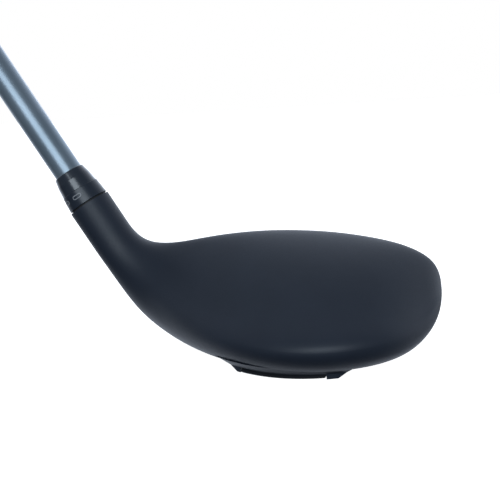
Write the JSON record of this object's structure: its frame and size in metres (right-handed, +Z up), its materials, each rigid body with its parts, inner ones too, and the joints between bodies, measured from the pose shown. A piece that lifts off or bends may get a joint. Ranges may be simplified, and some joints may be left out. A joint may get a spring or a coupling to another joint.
{
  "type": "hybrid golf club",
  "caption": "Right-handed hybrid golf club: hollow blade-like wood head with a sole weight, adjustable screw-fixed hosel sleeve, tapered shaft and rubber grip.",
  "frame": {"origin": "a point on the flat rest land of the sole, where the club stands at address", "axes": "+X towards the toe, +Y towards the target (out of the face), +Z up; the shaft rises over -X at a 60 degree lie"},
  "size_m": [0.6038, 0.0657, 0.8821],
  "materials": {
    "shaft_paint": "gloss slate blue-grey lacquer over a tapered composite tube",
    "brass": "turned",
    "epoxy": "cured adhesive",
    "ferrule_gloss": "polished black",
    "sleeve_black": "satin black anodised aluminium",
    "tape": "double-sided paper tape",
    "grip_rubber": "matte moulded rubber",
    "head_paint": "satin near-black coating with a faint blue cast over steel",
    "face_steel": "dark fine-brushed coated steel",
    "hot_melt": "hot-melt adhesive",
    "plain_steel": "plain",
    "pad_rubber": "thin damping pad",
    "screw_black": "black oxide",
    "weight_metal": "dark coated dense alloy"
  },
  "bodies": {
    "shaft_assembly": {"shaft": "shaft_paint", "tip_weight": "brass", "shaft_bond": "epoxy", "ferrule": "ferrule_gloss", "hosel_sleeve": "sleeve_black", "hosel_gasket": "pad_rubber", "grip_tape": "tape", "grip_body": "grip_rubber", "grip_cap": "grip_rubber"},
    "head": {"head_body": "head_paint", "crown_shell": "head_paint", "face_plate": "face_steel", "hot_melt_pad": "hot_melt", "screw_seat_washer": "plain_steel", "weight_thread_insert": "plain_steel", "rear_weight_pad": "pad_rubber"},
    "hosel_screw": {"hosel_screw": "screw_black", "screw_clip": "plain_steel"},
    "rear_weight": {"rear_weight": "weight_metal"},
    "rear_weight_screw": {"rear_weight_screw": "screw_black"}
  },
  "joints": [
    {"name": "head_pull_off", "type": "slide", "parent": "shaft_assembly", "child": "head", "axis": [0.5, 0, -0.866], "range_m": [0, 0.042]},
    {"name": "hosel_screw_turn", "type": "hinge", "parent": "head", "child": "hosel_screw", "pos_m": [-0.05025, 0.013, 0.01429], "axis": [-0.5, 0, 0.866], "continuous": true},
    {"name": "rear_weight_pull_out", "type": "slide", "parent": "head", "child": "rear_weight", "axis": [0, 0, -1], "range_m": [0, 0.013]},
    {"name": "rear_weight_screw_turn", "type": "hinge", "parent": "rear_weight", "child": "rear_weight_screw", "pos_m": [-0.0018, -0.0106, 0.003], "axis": [0, 0, 1], "continuous": true}
  ]
}
